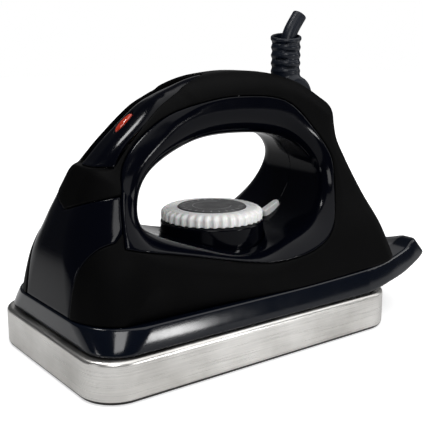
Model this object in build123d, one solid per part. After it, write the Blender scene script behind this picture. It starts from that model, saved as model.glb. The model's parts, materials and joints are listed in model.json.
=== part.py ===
from build123d import *
import math
import os

# A waxing iron, in millimetres. The origin is on the sole's bottom face, on the centre plane,
# below the middle of the hand opening. +X points to the nose, +Y to the iron's left side and +Z up.

# Fits
SEAM = 0.25            # gap between neighbouring mouldings
FREE = 0.1             # gap round a piece that sits in another
RUNNING = 0.05         # radial gap of a turning or sliding fit

# Sole plate
SOLE_FRONT = 75.0
SOLE_REAR = -77.8
SOLE_HALF = 46.0
SOLE_TOP = 16.6
SOLE_CORNER = 14.7
SOLE_EDGE = 2.6

# Tubular heater, a U that opens to the rear
HEATER_RADIUS = 3.3
HEATER_LEG_Y = 26.0
HEATER_BEND_X = 30.0
HEATER_END_X = -58.0
HEATER_END_TOP = 24.0
HEATER_UPTURN = 8.0
HEATER_Z = 12.8
CLAMP_THICK = 1.2

# Skirt with the heel rest
SKIRT_BOTTOM = 17.2
SKIRT_TOP = 26.4
SKIRT_WALL = 2.5
# front, rear, half width, front corner radius, rear corner radius
SKIRT_LOWER = (72.3, -77.5, 44.6, 14.0, 13.0)
SKIRT_UPPER = (72.9, -84.5, 42.4, 23.0, 12.0)
DECK_BOTTOM = 24.0
DECK_TOP = 26.2
HEEL_TIP_X = -110.0
HEEL_TIP_BOTTOM = 27.2
HEEL_TIP_TOP = 34.2
HEEL_TIP_SLANT = 6.0
HEEL_ROOT_X = -70.0
HEEL_RISE_X = -86.8    # just behind the housing, where the lip's top starts to rise
HEEL_ROOT_HALF = 41.5
HEEL_TIP_HALF = 33.0
HEEL_DISH_RADIUS = 118.0
HEEL_DISH_X = -98.0
HEEL_DISH_Z = 29.4
HEEL_DISH_TILT = -74.0

# Housing
WALL = 2.4
HOUSING_BOTTOM = SKIRT_TOP + SEAM
CROWN_START = 95.0     # above this height the housing closes over as a crown
# height, front, rear, half width, front corner radius, rear corner radius
STATIONS = [
    (HOUSING_BOTTOM, 72.6, -86.2, 42.0, 24.0, 8.0),
    (45.0, 69.8, -81.3, 36.3, 24.0, 9.0),
    (60.0, 64.9, -76.3, 28.8, 21.0, 9.5),
    (75.0, 57.3, -71.1, 22.0, 16.5, 9.0),
    (90.0, 43.0, -68.2, 17.2, 11.0, 8.0),
    (97.0, 35.3, -66.6, 16.4, 10.0, 8.0),
    (102.0, 29.5, -60.6, 15.8, 9.0, 8.0),
    (109.5, 15.0, -50.0, 12.8, 8.0, 7.5),
    (113.0, 1.0, -38.0, 9.4, 6.5, 6.0),
    (114.6, -10.0, -23.0, 5.0, 4.0, 4.0),
]
# Side view of the hand opening, and of the liner's seam below and above it
OPENING = [(-8, 41.4), (16, 46.5), (36, 54), (41.5, 62), (33, 76), (10, 86.2),
           (-14, 88.3), (-38, 85.5), (-51, 76), (-52, 64), (-43, 51.5), (-27, 45)]
SEAM_CORNER = (54, 52.5)
SEAM_BELOW = [(23.5, 45.3), (-1.4, 39.4), (-17.5, 37.8), (-36, 40.6), (-48, 48)]
SEAM_REAR = (-56.5, 64)
SEAM_ABOVE = [(-57, 80), (-38, 100.5), (-10, 104.7), (15, 101.4), (31.6, 94.4), (46.5, 79.4)]
# Front view of the nose cover's left edge, and plan view of the lamp cover's
NOSE_EDGE = [(19, 20), (20, 46), (24.5, 55), (24, 62), (21, 70)]
NOSE_POINT_Z = 63.5
LAMP_COVER_BOTTOM = 79.5
LAMP_COVER_EDGE = [(60, 12), (45, 12), (25, 10), (8, 6)]
LAMP_COVER_TAIL_X = -3.0

# Dial and thermostat
DIAL_X = -7.3
KNOB_RADIUS = 22.3
KNOB_BOTTOM = 51.1
KNOB_TOP = 56.2
FLUTES = 38
KNOB_WALL = 2.6
KNOB_WEB_BOTTOM = 53.4
HUB_RADIUS = 5.8
HUB_BOTTOM = 45.2
DISC_RADIUS = 15.0
DISC_BOTTOM = 55.2
PEDESTAL_RADIUS = 22.6
PEDESTAL_BOTTOM = 36.5
PEDESTAL_TOP = 50.8
SPINDLE_RADIUS = 3.0
SPINDLE_TOP = 52.0
STOP_BOTTOM = 38.2     # the spindle's collar with its stop nose
STOP_TOP = 39.6
PIN_RADIUS = 1.6
STACK_Y = -14.0        # the rivet that holds the thermostat's strips together

# Thermal fuse, across the iron
FUSE_X = 32.0
FUSE_Z = 19.5
FUSE_SCREW_X = 39.0

# Lens, on the front crest
LENS_X = 37.3
LENS_Z = 96.6
LENS_TILT = 41.0       # degrees between its axis and the upright
LENS_LONG = 6.2
LENS_SHORT = 3.3

# Cord entry
BARREL_X = -50.0
BARREL_Z = 102.5
BARREL_RADIUS = 9.0
BARREL_HALF = 8.0
TRUNNION_RADIUS = 2.5
TRUNNION_REACH = 11.5
BEARING_RADIUS = 5.2
BEARING_REACH = 14.2
NOTCH_GAP = 0.3        # sideways, and rather more round the barrel
SWING_HALF = 7.8
SWING_DEPTH = 4.5
GUARD_X = -48.8
GUARD_TOP = 130.4
GUARD_RADIUS = 7.0
GUARD_NECK_RADIUS = 6.5
GUARD_RIBS = [112.8, 117.4, 120.9, 124.3]
RIB_HEIGHT = 2.2
GUARD_SLOTS = [115.6, 119.3, 122.7, 126.1]
SLOT_HEIGHT = 1.1
SLOT_BRIDGE = 3.2      # half width of the bridges between a pair of slots
MOUTH_RADIUS = 6.2
MOUTH_BOTTOM = 126.0
BORE_FLARE_Z = 117.5   # above this the guard's bore widens to its mouth
CORD_RADIUS = 3.3
CORD_LEAVES_Z = 118.0  # where the cord starts to lean back
CORD_AT_MOUTH = 2.4
CORD_REACH = 7.8
CORD_END_Z = 138.2
CORD_END_WAY = (-0.6, 0, 0.8)
CORE_RADIUS = 0.95
CORE_CIRCLE = 1.6
CORE_DEPTH = 3.0

# Fixing points
SOLE_SCREWS = [(54.0, 28.0), (54.0, -28.0), (-68.0, 18.0), (-68.0, -18.0)]
HOUSING_SCREWS = [(44.0, 33.0), (44.0, -33.0), (-70.0, 32.0), (-70.0, -32.0)]
CLAMP_SCREWS = [(-34.0, 33.5), (-34.0, -33.5), (14.0, 33.5), (14.0, -33.5)]
POLES = [-9.0, 0.0, 9.0]
WIRE_Z = 31.5
WIRE_RADIUS = 0.9
LAMP_WIRE_RADIUS = 0.8
BLOCK_SCREW_X = -41.0
BLOCK_SCREWS_Y = [-4.5, 4.5]
CORD_CLAMP_X = -63.5
CORD_CLAMP_SCREWS_Y = [-7.5, 7.5]
TERMINAL_TOP = 36.6
TERMINALS_X = [-44.0, -38.0]


# ---- Shapes that repeat ----

def block(x0, x1, y0, y1, z0, z1):
    """A block between two opposite corners."""
    middle = Pos((x0 + x1) / 2, (y0 + y1) / 2, (z0 + z1) / 2)
    return middle * Box(x1 - x0, y1 - y0, z1 - z0)


def post(x, y, z0, z1, radius):
    """An upright cylinder."""
    return Pos(x, y, (z0 + z1) / 2) * Cylinder(radius, z1 - z0)


def sleeve(x, y, z0, z1, outer, inner):
    """An upright tube."""
    return post(x, y, z0, z1, outer) - post(x, y, z0 - 1, z1 + 1, inner)


def axle(x, z, y0, y1, radius):
    """A cylinder that lies across the iron."""
    return Pos(x, (y0 + y1) / 2, z) * Rot(90, 0, 0) * Cylinder(radius, y1 - y0)


def log(y, z, x0, x1, radius):
    """A cylinder that lies along the iron."""
    return Pos((x0 + x1) / 2, y, z) * Rot(0, 90, 0) * Cylinder(radius, x1 - x0)


def screw(x, y, tip, seat, radius, head_radius, head_height):
    """A pan-head screw that points down from its seat."""
    shank = post(x, y, tip, seat, radius)
    head = post(x, y, seat, seat + head_height, head_radius)
    top = seat + head_height
    slot = block(x - head_radius, x + head_radius, y - 0.4, y + 0.4, top - 0.8, top + 1)
    return shank + head - slot


def rod(points, radius):
    """A round wire along a smooth path."""
    path = Spline(*points)
    return sweep(Plane(origin=path @ 0, z_dir=path % 0) * Circle(radius), path=path)


def group(items):
    """Separate solids kept together in one piece file."""
    return Part() + list(items)


def rounded_plan(z, front, rear, half, front_radius, rear_radius):
    """A plan outline at one height, the same on both sides, with round corners."""
    front_x = front - front_radius
    rear_x = rear + rear_radius
    front_y = half - front_radius
    rear_y = half - rear_radius
    edges = [
        Line((front, -front_y), (front, front_y)),
        CenterArc((front_x, front_y), front_radius, 0, 90),
        Line((front_x, half), (rear_x, half)),
        CenterArc((rear_x, rear_y), rear_radius, 90, 90),
        Line((rear, rear_y), (rear, -rear_y)),
        CenterArc((rear_x, -rear_y), rear_radius, 180, 90),
        Line((rear_x, -half), (front_x, -half)),
        CenterArc((front_x, -front_y), front_radius, 270, 90),
    ]
    return Pos(0, 0, z) * make_face(edges)


def grown(points, margin, centre):
    """Outline points moved away from a centre."""
    moved = []
    for a, b in points:
        reach = math.hypot(a - centre[0], b - centre[1])
        scale = 1 + margin / reach
        moved.append((centre[0] + (a - centre[0]) * scale, centre[1] + (b - centre[1]) * scale))
    return moved


def across(face, half=60.0):
    """A side view extruded to both sides of the centre plane."""
    return extrude(Plane.XZ * face, amount=half, both=True)


# ---- Sole ----

def heater_path():
    """The heater's centre line, up at both ends."""
    rise = HEATER_UPTURN * (1 - math.sqrt(0.5))
    turn_x = HEATER_END_X + HEATER_UPTURN
    edges = []
    for y in (HEATER_LEG_Y, -HEATER_LEG_Y):
        top = (HEATER_END_X, y, HEATER_END_TOP)
        upper = (HEATER_END_X, y, HEATER_Z + HEATER_UPTURN)
        middle = (HEATER_END_X + rise, y, HEATER_Z + rise)
        lower = (turn_x, y, HEATER_Z)
        edges += [Line(top, upper), ThreePointArc(upper, middle, lower)]
        edges.append(Line(lower, (HEATER_BEND_X, y, HEATER_Z)))
    bend_start = (HEATER_BEND_X, HEATER_LEG_Y, HEATER_Z)
    bend_middle = (HEATER_BEND_X + HEATER_LEG_Y, 0, HEATER_Z)
    bend_end = (HEATER_BEND_X, -HEATER_LEG_Y, HEATER_Z)
    edges.append(ThreePointArc(bend_start, bend_middle, bend_end))
    return Wire(edges)


def heating_element():
    start = Plane(origin=(HEATER_END_X, HEATER_LEG_Y, HEATER_END_TOP), z_dir=(0, 0, -1))
    return sweep(start * Circle(HEATER_RADIUS), path=heater_path())


def heater_groove():
    """The flat-bottomed U groove that the heater lies in."""
    half = HEATER_RADIUS + FREE
    bottom = HEATER_Z - half
    rear = HEATER_END_X - half
    outer = HEATER_LEG_Y + half
    inner = HEATER_LEG_Y - half
    top = SOLE_TOP + 1
    wide = block(rear, HEATER_BEND_X, -outer, outer, bottom, top) + post(HEATER_BEND_X, 0, bottom, top, outer)
    island = block(rear - 1, HEATER_BEND_X, -inner, inner, bottom - 1, top + 1)
    return wide - island - post(HEATER_BEND_X, 0, bottom - 1, top + 1, inner)


def sole_plate():
    outline = rounded_plan(0, SOLE_FRONT, SOLE_REAR, SOLE_HALF, SOLE_CORNER, SOLE_CORNER)
    plate = extrude(outline, amount=SOLE_TOP)
    plate = fillet(plate.edges().group_by(Axis.Z)[0], SOLE_EDGE)
    plate = chamfer(plate.edges().group_by(Axis.Z)[-1], 0.5)
    plate -= heater_groove()
    for x, y in SOLE_SCREWS:
        plate -= post(x, y, 7, 20, 1.6)
    for x, y in CLAMP_SCREWS:
        plate -= post(x, y, 9, 20, 1.35)
    for x, y in thermostat_screw_places() + [(FUSE_SCREW_X, 0.0)]:
        plate -= post(x, y, 9, 20, 1.35)
    return plate


def heater_clamp_plate():
    """A sheet that presses the heater into its groove."""
    top = SOLE_TOP + CLAMP_THICK
    front_radius = HEATER_LEG_Y + HEATER_RADIUS + 1.6
    sheet = block(-46, HEATER_BEND_X, -38, 38, SOLE_TOP, top)
    sheet += post(HEATER_BEND_X, 0, SOLE_TOP, top, front_radius)
    sheet -= block(-60, HEATER_BEND_X, -21.5, 21.5, SOLE_TOP - 1, top + 1)
    sheet -= post(HEATER_BEND_X, 0, SOLE_TOP - 1, top + 1, 21.5)
    for x, y in CLAMP_SCREWS:
        sheet -= post(x, y, SOLE_TOP - 1, top + 1, 1.6)
    return sheet


def clamp_plate_screws():
    seat = SOLE_TOP + CLAMP_THICK
    return group(screw(x, y, 9.5, seat, 1.3, 3.2, 2.2) for x, y in CLAMP_SCREWS)


def heater_seals():
    """Ceramic rings that close the heater's ends round its pins."""
    return group(sleeve(HEATER_END_X, y, HEATER_END_TOP, HEATER_END_TOP + 3.4, 2.9, 1.25)
                 for y in (HEATER_LEG_Y, -HEATER_LEG_Y))


def heater_pins():
    return group(post(HEATER_END_X, y, HEATER_END_TOP, HEATER_END_TOP + 9, 1.2)
                 for y in (HEATER_LEG_Y, -HEATER_LEG_Y))


def insulating_spacers():
    """Stepped ceramic tubes between plate and deck; the heat shield rests on the step."""
    tubes = []
    for x, y in SOLE_SCREWS:
        foot = sleeve(x, y, SOLE_TOP, 21, 5.5, 1.9)
        neck = sleeve(x, y, 21, DECK_BOTTOM, 4.5, 1.9)
        tubes.append(foot + neck)
    return group(tubes)


def sole_screws():
    return group(screw(x, y, 8, DECK_TOP, 1.5, 4.0, 2.4) for x, y in SOLE_SCREWS)


def heat_shield():
    sheet = extrude(rounded_plan(21.05, 64, -74, 36, 12, 12), amount=0.6)
    sheet -= block(-50, 45, -21, 21, 20, 23)
    for x, y in SOLE_SCREWS:
        sheet -= post(x, y, 20, 23, 4.6)
    for x, y in HOUSING_SCREWS:
        sheet -= post(x, y, 20, 23, 5.0)
    for y in (HEATER_LEG_Y, -HEATER_LEG_Y):
        sheet -= post(HEATER_END_X, y, 20, 23, 5.0)
    return sheet


# ---- Skirt ----

def skirt_body(inset, bottom, top):
    """The skirt's tapering band, from its lower to its upper outline."""
    outlines = []
    for z, (front, rear, half, front_radius, rear_radius) in ((bottom, SKIRT_LOWER), (top, SKIRT_UPPER)):
        outlines.append(rounded_plan(z, front - inset, rear + inset, half - inset,
                                     front_radius - inset, rear_radius - inset))
    return loft(outlines)


def heel_rest():
    """The upswept lip behind the skirt, dished on top, on which the iron stands upright."""
    tip_bottom = (HEEL_TIP_X, HEEL_TIP_BOTTOM)
    tip_top = (HEEL_TIP_X + HEEL_TIP_SLANT, HEEL_TIP_TOP)
    root_bottom = (HEEL_ROOT_X, SKIRT_BOTTOM)
    root_top = (HEEL_ROOT_X, SKIRT_TOP)
    leaving = (HEEL_ROOT_X - 4, SKIRT_BOTTOM)
    rise = (HEEL_RISE_X, SKIRT_TOP)
    side = make_face([
        Line(root_top, root_bottom),
        Line(root_bottom, leaving),
        Spline(leaving, (-89.5, 20.0), (-99.5, 22.9), tip_bottom),
        Line(tip_bottom, tip_top),
        Spline(tip_top, (-96.0, 30.6), rise),
        Line(rise, root_top),
    ])
    plan = make_face(Polyline((HEEL_ROOT_X, HEEL_ROOT_HALF), (HEEL_TIP_X, HEEL_TIP_HALF),
                              (HEEL_TIP_X, -HEEL_TIP_HALF), (HEEL_ROOT_X, -HEEL_ROOT_HALF), close=True))
    lip = across(side) & extrude(plan, amount=60)
    lip = fillet(lip.edges().filter_by(Axis.Z, tolerance=45).group_by(Axis.X)[0], 2.0)
    dish = Rot(0, HEEL_DISH_TILT, 0) * Cylinder(HEEL_DISH_RADIUS, 120)
    dish = Pos(HEEL_DISH_X, 0, HEEL_DISH_Z + HEEL_DISH_RADIUS) * dish
    return lip - (dish & block(-130, HEEL_RISE_X, -60, 60, 20, 60))


def base_skirt():
    skirt = skirt_body(0, SKIRT_BOTTOM, SKIRT_TOP) + heel_rest()
    skirt -= skirt_body(SKIRT_WALL, SKIRT_BOTTOM - 1, DECK_BOTTOM)
    skirt -= skirt_body(SKIRT_WALL + 0.4, DECK_TOP, SKIRT_TOP + 1)
    skirt -= block(-33, 38, -30, 30, 20, 30)
    for y in (HEATER_LEG_Y, -HEATER_LEG_Y):
        skirt -= block(-64, -53, y - 6, y + 6, 20, 30)
    for x, y in SOLE_SCREWS:
        skirt -= post(x, y, 20, 30, 1.9)
    for x, y in HOUSING_SCREWS:
        skirt -= post(x, y, 20, 30, 1.9)
    for y in CORD_CLAMP_SCREWS_Y:
        skirt -= post(CORD_CLAMP_X, y, 20, 30, 1.25)
    for y in BLOCK_SCREWS_Y:
        skirt -= post(BLOCK_SCREW_X, y, 20, 30, 1.25)
    return skirt


def housing_screws():
    """Screws that point up from under the deck into the housing's bosses."""
    screws = []
    for x, y in HOUSING_SCREWS:
        shank = post(x, y, DECK_BOTTOM, 37, 1.5)
        head = post(x, y, DECK_BOTTOM - 2.2, DECK_BOTTOM, 3.4)
        screws.append(shank + head)
    return group(screws)


# ---- Housing ----

def housing_solid(inset):
    """The housing's outer form, or with an inset its inner form, open at the bottom."""
    sections = []
    for z, front, rear, half, front_radius, rear_radius in STATIONS:
        drop = inset if z > CROWN_START else 0
        if z == HOUSING_BOTTOM and inset:
            drop = 8
        sections.append(rounded_plan(z - drop, front - inset, rear + inset, half - inset,
                                     front_radius - inset, rear_radius - inset))
    return loft(sections, ruled=True)


def opening_through(margin):
    """The hand opening, cut right through, or its wall's outside with a margin."""
    outline = Spline(*grown(OPENING, margin, (-6, 66)), periodic=True)
    return across(make_face(outline))


def liner_zone(margin):
    """Everything inside the liner's seam."""
    centre = (-3, 70)
    corner = grown([SEAM_CORNER], margin, centre)[0]
    rear = grown([SEAM_REAR], margin, centre)[0]
    below = Spline(corner, *grown(SEAM_BELOW, margin, centre), rear)
    above = Spline(rear, *grown(SEAM_ABOVE, margin, centre), corner)
    return across(make_face([below, above]))


def mirrored_outline(edge, point, margin):
    """An outline from its left edge, mirrored, with a point on the centre line."""
    left = [(a, b + margin) for a, b in edge]
    right = [(a, -b) for a, b in reversed(left)]
    return Polyline(*left, point, *right, close=True)


def nose_zone(margin):
    """Everything inside the nose cover's seam, in front of the hand opening."""
    left = [(y + margin, z) for y, z in NOSE_EDGE]
    left[-1] = (left[-1][0], left[-1][1] + margin)
    right = [(-y, z) for y, z in reversed(left)]
    outline = make_face(Polyline(*left, (0, NOSE_POINT_Z + margin), *right, close=True))
    return Pos(50, 0, 0) * extrude(Plane.YZ * outline, amount=40)


def lamp_zone(margin):
    """Everything inside the lamp cover's seam, on the crest of the front leg."""
    outline = make_face(mirrored_outline(LAMP_COVER_EDGE, (LAMP_COVER_TAIL_X - margin, 0), margin))
    return Pos(0, 0, LAMP_COVER_BOTTOM - margin) * extrude(outline, amount=60)


def hollow_housing():
    """Outer form less its inside, with the hand opening and the wall round it."""
    inside = housing_solid(WALL) - opening_through(WALL)
    return housing_solid(0) - inside - opening_through(0)


def handle_liners(hollow):
    """The two halves of the glossy liner round the hand opening."""
    liner = hollow & liner_zone(0)
    liner -= post(DIAL_X, 0, 30, 60, PEDESTAL_RADIUS + SEAM)
    liner -= pointer_bar(FREE)
    left = liner & block(-120, 120, FREE, 60, 0, 140)
    right = liner & block(-120, 120, -60, -FREE, 0, 140)
    return left, right


def housing_bosses():
    """Screw bosses in the hips, each joined to the side wall by a rib."""
    bosses = Part()
    for x, y in HOUSING_SCREWS:
        side = math.copysign(1, y)
        bosses += post(x, y, HOUSING_BOTTOM, 38, 3.8)
        y0, y1 = sorted((y, y + side * 9))
        bosses += block(x - 1, x + 1, y0, y1, HOUSING_BOTTOM, 36)
    return bosses


def barrel_bearings():
    """Round bearings inside the handle's rear for the cord guard's trunnions."""
    bearings = Part()
    for side in (1, -1):
        y0, y1 = sorted((side * (BARREL_HALF + NOTCH_GAP), side * BEARING_REACH))
        bearings += axle(BARREL_X, BARREL_Z, y0, y1, BEARING_RADIUS)
    return bearings


def cord_notch():
    """The notch in the handle's rear top that the guard's barrel turns in."""
    width = BARREL_HALF + NOTCH_GAP
    round_part = axle(BARREL_X, BARREL_Z, -width, width, BARREL_RADIUS + 0.5)
    swing = axle(BARREL_X, BARREL_Z, -SWING_HALF, SWING_HALF, BARREL_RADIUS + SWING_DEPTH)
    swing &= block(BARREL_X, BARREL_X + 20, -10, 10, BARREL_Z + 2, BARREL_Z + 20)
    return round_part + swing


def outer_shell(rest):
    """The matte housing, from what the liner leaves of the hollow form."""
    shell = rest - nose_zone(SEAM) - lamp_zone(SEAM)
    shell = shell.solids().sort_by(SortBy.VOLUME)[-1]
    shell = shell + (housing_bosses() & housing_solid(0.6)) + (barrel_bearings() & housing_solid(0.6))
    for x, y in HOUSING_SCREWS:
        shell -= post(x, y, 20, 37.4, 1.55)
    shell -= cord_notch()
    reach = TRUNNION_REACH + 0.7
    return shell - axle(BARREL_X, BARREL_Z, -reach, reach, TRUNNION_RADIUS + RUNNING)


def nose_cover(rest):
    cover = rest & nose_zone(0)
    return cover.solids().sort_by(SortBy.VOLUME)[-1]


def lamp_cover(rest):
    cover = rest & lamp_zone(0)
    cover = cover.solids().sort_by(SortBy.VOLUME)[-1]
    return cover - on_crest(extrude(Ellipse(LENS_LONG + FREE, LENS_SHORT + FREE), amount=12, both=True))


# ---- Lamp ----

def on_crest(piece):
    """Places a piece that is drawn along +Z onto the lens's axis."""
    return Pos(LENS_X, 0, LENS_Z) * Rot(0, LENS_TILT, 0) * piece


def lamp_lens():
    plug = Pos(0, 0, -4) * extrude(Ellipse(LENS_LONG, LENS_SHORT), amount=5)
    plug = fillet(plug.edges().group_by(Axis.Z)[-1], 0.8)
    return on_crest(plug)


def neon_lamp():
    bulb = Rot(0, 90, 0) * Cylinder(2.2, 9)
    return on_crest(Pos(0, 0, -7.5) * fillet(bulb.edges().group_by(Axis.X)[0], 1.5))


def lamp_resistor():
    body = Rot(0, 90, 0) * Cylinder(1.2, 5.5)
    return on_crest(Pos(0, 3.8, -11.5) * body)


def lamp_wires():
    """A pair of wires from the terminal block, along the left hip and up the front leg."""
    wires = []
    for shift in (0.0, 2.4):
        path = [
            (-33.8, 4 + shift, 35), (-29, 12 + shift, 35.2), (-18, 26 + shift, 34.6), (18, 26 + shift, 34.6),
            (50, 8 + shift, 42), (52.5, 2 + shift, 62), (44, -1 + shift, 80), (35, -1 + shift, 86),
        ]
        wires.append(rod(path, LAMP_WIRE_RADIUS))
    return group(wires)


# ---- Dial ----

def dial_knob():
    """A fluted cap with a hub; the scale disc lies in its top."""
    height = KNOB_TOP - KNOB_BOTTOM
    turns = [math.tau * i / FLUTES for i in range(FLUTES)]
    rim_points = [(KNOB_RADIUS * math.cos(turn), KNOB_RADIUS * math.sin(turn)) for turn in turns]
    grooves = [Pos(x, y) * Circle(0.75) for x, y in rim_points]
    rim = extrude(Circle(KNOB_RADIUS) - (Sketch() + grooves), amount=height)
    rounded = Pos(0, 0, height / 2) * Cylinder(KNOB_RADIUS + 0.1, height)
    rounded = fillet(rounded.edges().group_by(Axis.Z)[-1], 1.6)
    knob = Pos(DIAL_X, 0, KNOB_BOTTOM) * (rim & rounded)
    knob -= post(DIAL_X, 0, KNOB_BOTTOM - 1, KNOB_WEB_BOTTOM, KNOB_RADIUS - KNOB_WALL)
    knob += post(DIAL_X, 0, HUB_BOTTOM, KNOB_WEB_BOTTOM + 0.2, HUB_RADIUS)
    knob -= post(DIAL_X, 0, DISC_BOTTOM, KNOB_TOP + 1, DISC_RADIUS + FREE)
    return knob - post(DIAL_X, 0, HUB_BOTTOM - 1, SPINDLE_TOP + 0.5, SPINDLE_RADIUS + RUNNING)


def dial_disc():
    disc = post(DIAL_X, 0, DISC_BOTTOM, KNOB_TOP + 0.3, DISC_RADIUS)
    return chamfer(disc.edges().group_by(Axis.Z)[-1], 0.3)


def dial_clip():
    """An open spring ring round the knob's hub."""
    ring = sleeve(DIAL_X, 0, HUB_BOTTOM + 1.2, HUB_BOTTOM + 3.2, HUB_RADIUS + 0.8, HUB_RADIUS + RUNNING)
    return ring - block(DIAL_X, DIAL_X + 8, -1.2, 1.2, HUB_BOTTOM, HUB_BOTTOM + 4)


def dial_pedestal():
    """The fixed drum under the dial, held by two lugs under the pocket floor."""
    drum = post(DIAL_X, 0, PEDESTAL_BOTTOM, PEDESTAL_TOP, PEDESTAL_RADIUS)
    drum = fillet(drum.edges().group_by(Axis.Z)[-1], 1.0)
    drum -= post(DIAL_X, 0, PEDESTAL_BOTTOM - 1, PEDESTAL_TOP - 2, PEDESTAL_RADIUS - 2)
    for side in (1, -1):
        y0, y1 = sorted((side * 21, side * 27))
        drum += block(DIAL_X - 4, DIAL_X + 4, y0, y1, PEDESTAL_BOTTOM, PEDESTAL_BOTTOM + 1.4)
    return drum - post(DIAL_X, 0, 40, 60, 7.4)


def pointer_bar(margin):
    bar = Box(10.5 + 2 * margin, 3.6 + 2 * margin, 3.4 + 2 * margin)
    bar = fillet(bar.edges().filter_by(Axis.Z), 1.6)
    return Pos(-41.2, 0, 51.0) * Rot(0, 24, 0) * bar


# ---- Thermostat ----

def thermostat_screw_places():
    return [(DIAL_X - 17.0, 0.0), (DIAL_X + 17.0, 0.0)]


def thermostat_bracket():
    """A bent steel bridge over the contact strips; its top holds the bush."""
    bridge = block(DIAL_X - 13, DIAL_X + 13, -7, 7, 18.0, 31.2)
    bridge -= block(DIAL_X - 11.8, DIAL_X + 11.8, -8, 8, 10, 30.0)
    for side in (1, -1):
        x0, x1 = sorted((DIAL_X + side * 11.8, DIAL_X + side * 21))
        bridge += block(x0, x1, -7, 7, 16.6, 17.8)
        x0, x1 = sorted((DIAL_X + side * 11.8, DIAL_X + side * 13))
        bridge += block(x0, x1, -7, 7, 16.6, 19)
    for x, y in thermostat_screw_places():
        bridge -= post(x, y, 10, 20, 1.6)
    return bridge - post(DIAL_X, 0, 25, 35, 4.6)


def thermostat_screws():
    return group(screw(x, y, 9.5, 17.8, 1.3, 2.9, 2.0) for x, y in thermostat_screw_places())


def spindle_bush():
    bush = post(DIAL_X, 0, 29.0, 38.0, 4.55) + post(DIAL_X, 0, 31.2, 33.0, 6.4)
    return bush - post(DIAL_X, 0, 28, 39, SPINDLE_RADIUS + RUNNING)


def thermostat_spindle():
    """The spindle that the knob turns; its lower end is bored for the setting pin."""
    spindle = post(DIAL_X, 0, 29.5, SPINDLE_TOP, SPINDLE_RADIUS)
    spindle += post(DIAL_X, 0, STOP_BOTTOM, STOP_TOP, 4.6)
    spindle += block(DIAL_X, DIAL_X + 6.5, -1.2, 1.2, STOP_BOTTOM, STOP_TOP)
    return spindle - post(DIAL_X, 0, 29, 37, PIN_RADIUS + RUNNING)


def setting_pin():
    """The ceramic pin that the spindle's thread drives down onto the upper contact leaf."""
    return post(DIAL_X, 0, 26.9, 35.5, PIN_RADIUS)


def strip(y_end, z0, z1, half):
    """A flat strip from the rivet towards +Y, pierced for the rivet."""
    blank = block(DIAL_X - half, DIAL_X + half, STACK_Y - 4, y_end, z0, z1)
    return blank - post(DIAL_X, STACK_Y, z0 - 1, z1 + 1, 1.3)


def thermostat_base():
    return strip(16, 16.65, 17.8, 6.0)


def bimetal_strip():
    return strip(12, 19.0, 20.0, 4.0)


def contact_leaves():
    lower = strip(7, 22.0, 22.4, 3.0)
    upper = strip(8, 25.8, 26.2, 3.0)
    return group([lower, upper])


def contact_points():
    """Silver rivets on the facing sides of the two leaves."""
    lower = post(DIAL_X, 4, 22.4, 24.0, 1.4)
    upper = post(DIAL_X, 4, 24.2, 25.8, 1.4)
    return group([lower, upper])


def ceramic_washers():
    levels = [(17.8, 19.0), (20.0, 22.0), (22.4, 25.8), (26.2, 27.8)]
    return group(sleeve(DIAL_X, STACK_Y, low, high, 3.6, 1.3) for low, high in levels)


def stack_rivet():
    shank = post(DIAL_X, STACK_Y, 16.65, 27.8, 1.25)
    return shank + post(DIAL_X, STACK_Y, 27.8, 28.8, 2.6)


def bimetal_bead():
    """The ceramic bead on the bimetal's free end that lifts the lower leaf."""
    return post(DIAL_X, 6, 20.0, 21.7, 1.3)


def terminal_tabs():
    """Flat tabs that leave the two leaves towards the side."""
    tabs = []
    for side, z0 in ((1, 22.4), (-1, 26.2)):
        x0, x1 = sorted((DIAL_X + side * 3.8, DIAL_X + side * 10.5))
        arm = block(x0, x1, STACK_Y - 3.6, STACK_Y + 1, z0, z0 + 0.8)
        tabs.append(arm)
    return group(tabs)


# ---- Thermal fuse ----

def thermal_fuse():
    return axle(FUSE_X, FUSE_Z, -6.5, 6.5, 1.9)


def fuse_sleeve():
    return axle(FUSE_X, FUSE_Z, -10, 10, 2.7) - axle(FUSE_X, FUSE_Z, -11, 11, 1.95)


def fuse_clip():
    """A sheet saddle that holds the fuse down on the plate."""
    saddle = axle(FUSE_X, FUSE_Z, -3, 3, 3.5) + block(FUSE_X, FUSE_X + 11, -3, 3, SOLE_TOP, SOLE_TOP + 1)
    saddle -= axle(FUSE_X, FUSE_Z, -4, 4, 2.75)
    saddle &= block(FUSE_X - 10, FUSE_X + 20, -5, 5, SOLE_TOP, 30)
    return saddle - post(FUSE_SCREW_X, 0, 10, 25, 1.6)


def fuse_clip_screw():
    return screw(FUSE_SCREW_X, 0, 9.5, SOLE_TOP + 1, 1.3, 2.7, 1.8)


# ---- Cord ----

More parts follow.
